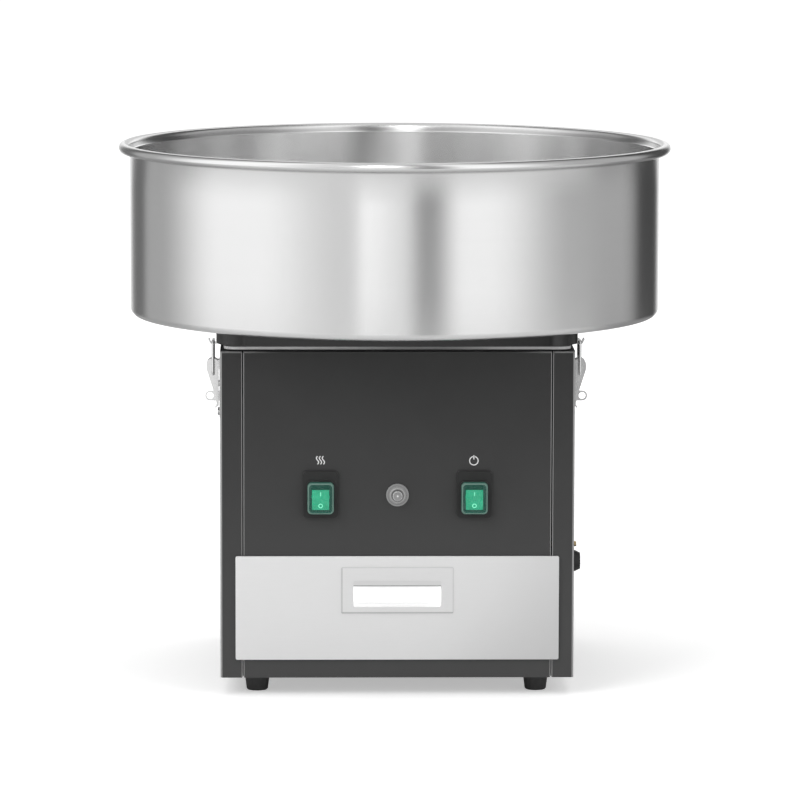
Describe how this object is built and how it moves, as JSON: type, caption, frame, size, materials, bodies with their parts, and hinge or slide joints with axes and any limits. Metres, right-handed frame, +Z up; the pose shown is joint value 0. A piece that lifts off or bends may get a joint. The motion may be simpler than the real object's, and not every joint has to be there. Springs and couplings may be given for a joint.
{
  "type": "cotton candy machine",
  "caption": "Electric table-top cotton candy machine: a wide steel bowl with a heated spinner head, latched on a square housing with a drawer, rocker switches and a reset button.",
  "frame": {"origin": "on the table, under the bowl's axis", "axes": "+X right seen from the front, -Y front with the switches and the drawer, +Z up"},
  "size_m": [0.5199, 0.52, 0.5],
  "materials": {
    "housing_paint": "satin dark powder coat",
    "inner_zinc": "zinc plated sheet",
    "brushed_steel": "fine horizontal brushing",
    "bowl_steel": "spun and brushed around",
    "pull_satin": "bright satin",
    "frame_gloss": "glossy black",
    "plate_grey": "pale grey",
    "foot_rubber": "matte",
    "switch_black": "fine texture",
    "boot_clear": "clear flexible cover",
    "rocker_green": "translucent green",
    "latch_steel": "bright stainless",
    "button_grey": "grey",
    "nut_grey": "grey",
    "gland_black": "black nylon",
    "brass": "machined",
    "motor_grey": "cast grey",
    "shaft_steel": "turned",
    "head_aluminium": "spun",
    "heater_metal": "heat darkened tube",
    "screen_steel": "slotted sheet",
    "insulator": "brown phenolic",
    "carbon": "carbon",
    "screw_steel": "bright"
  },
  "bodies": {
    "housing": {"base_pan": "inner_zinc", "front_panel": "housing_paint", "back_panel": "housing_paint", "top_deck": "housing_paint", "top_plate": "plate_grey", "left_side_panel": "housing_paint", "right_side_panel": "housing_paint", "left_drawer_runner": "inner_zinc", "right_drawer_runner": "inner_zinc", "foot_front_left": "foot_rubber", "foot_front_right": "foot_rubber", "foot_rear_left": "foot_rubber", "foot_rear_right": "foot_rubber", "foot_screws": "screw_steel", "latch_screws": "screw_steel", "back_panel_screws": "screw_steel", "bowl": "bowl_steel", "bowl_collar": "bowl_steel", "latch_pins": "latch_steel", "bowl_base_frame": "frame_gloss", "bowl_bolts": "screw_steel", "heat_switch_bezel": "switch_black", "power_switch_bezel": "switch_black", "heat_switch_boot": "boot_clear", "power_switch_boot": "boot_clear", "breaker_nut": "nut_grey", "breaker_body": "switch_black", "cable_gland": "gland_black", "gland_locknut": "gland_black", "earth_stud": "brass", "motor": "motor_grey", "motor_bracket": "inner_zinc", "motor_bolts": "screw_steel", "shaft_bearing": "shaft_steel", "brush_holder": "insulator", "carbon_brushes": "carbon", "terminal_block": "insulator", "left_latch_base": "latch_steel", "left_padlock_eye": "latch_steel", "left_latch_keeper": "latch_steel", "right_latch_base": "latch_steel", "right_padlock_eye": "latch_steel", "right_latch_keeper": "latch_steel"},
    "drawer": {"drawer_tray": "inner_zinc", "drawer_front": "brushed_steel", "drawer_pull": "pull_satin"},
    "heat_rocker": {"heat_rocker": "rocker_green"},
    "power_rocker": {"power_rocker": "rocker_green"},
    "reset_button": {"reset_button": "button_grey"},
    "left_lever": {"left_latch_lever": "latch_steel"},
    "left_bail": {"left_latch_bail": "latch_steel"},
    "right_lever": {"right_latch_lever": "latch_steel"},
    "right_bail": {"right_latch_bail": "latch_steel"},
    "spinner": {"spinner_shaft": "shaft_steel", "slip_rings": "brass", "spinner_base": "head_aluminium", "heating_ring": "heater_metal", "screen_band": "screen_steel", "spinner_cap": "head_aluminium", "spinner_screws": "screw_steel"}
  },
  "joints": [
    {"name": "drawer_slide", "type": "slide", "parent": "housing", "child": "drawer", "axis": [0, -1, 0], "range_m": [0, 0.23]},
    {"name": "heat_switch", "type": "hinge", "parent": "housing", "child": "heat_rocker", "pos_m": [-0.0707, -0.16, 0.1848], "axis": [-1, 0, 0], "range_deg": [0, 16]},
    {"name": "power_switch", "type": "hinge", "parent": "housing", "child": "power_rocker", "pos_m": [0.0707, -0.16, 0.1848], "axis": [-1, 0, 0], "range_deg": [0, 16]},
    {"name": "breaker_reset", "type": "slide", "parent": "housing", "child": "reset_button", "axis": [0, 1, 0], "range_m": [0, 0.003], "stiffness_N_per_m": 600},
    {"name": "spinner_spin", "type": "hinge", "parent": "housing", "child": "spinner", "pos_m": [0, 0, 0.375], "axis": [0, 0, 1], "continuous": true},
    {"name": "left_latch", "type": "hinge", "parent": "housing", "child": "left_lever", "pos_m": [-0.1703, -0.1, 0.3009], "axis": [0, 1, 0], "range_deg": [0, 95]},
    {"name": "left_bail_pivot", "type": "hinge", "parent": "left_lever", "child": "left_bail", "pos_m": [-0.17, -0.1, 0.2924], "axis": [0, 1, 0], "range_deg": [-78, 0]},
    {"name": "right_latch", "type": "hinge", "parent": "housing", "child": "right_lever", "pos_m": [0.1703, -0.1, 0.3009], "axis": [0, -1, 0], "range_deg": [0, 95]},
    {"name": "right_bail_pivot", "type": "hinge", "parent": "right_lever", "child": "right_bail", "pos_m": [0.17, -0.1, 0.2924], "axis": [0, -1, 0], "range_deg": [-78, 0]}
  ],
  "couplings": [
    {"joint": "left_bail_pivot", "follows": "left_latch", "ratio": -0.82},
    {"joint": "right_bail_pivot", "follows": "right_latch", "ratio": -0.82}
  ]
}
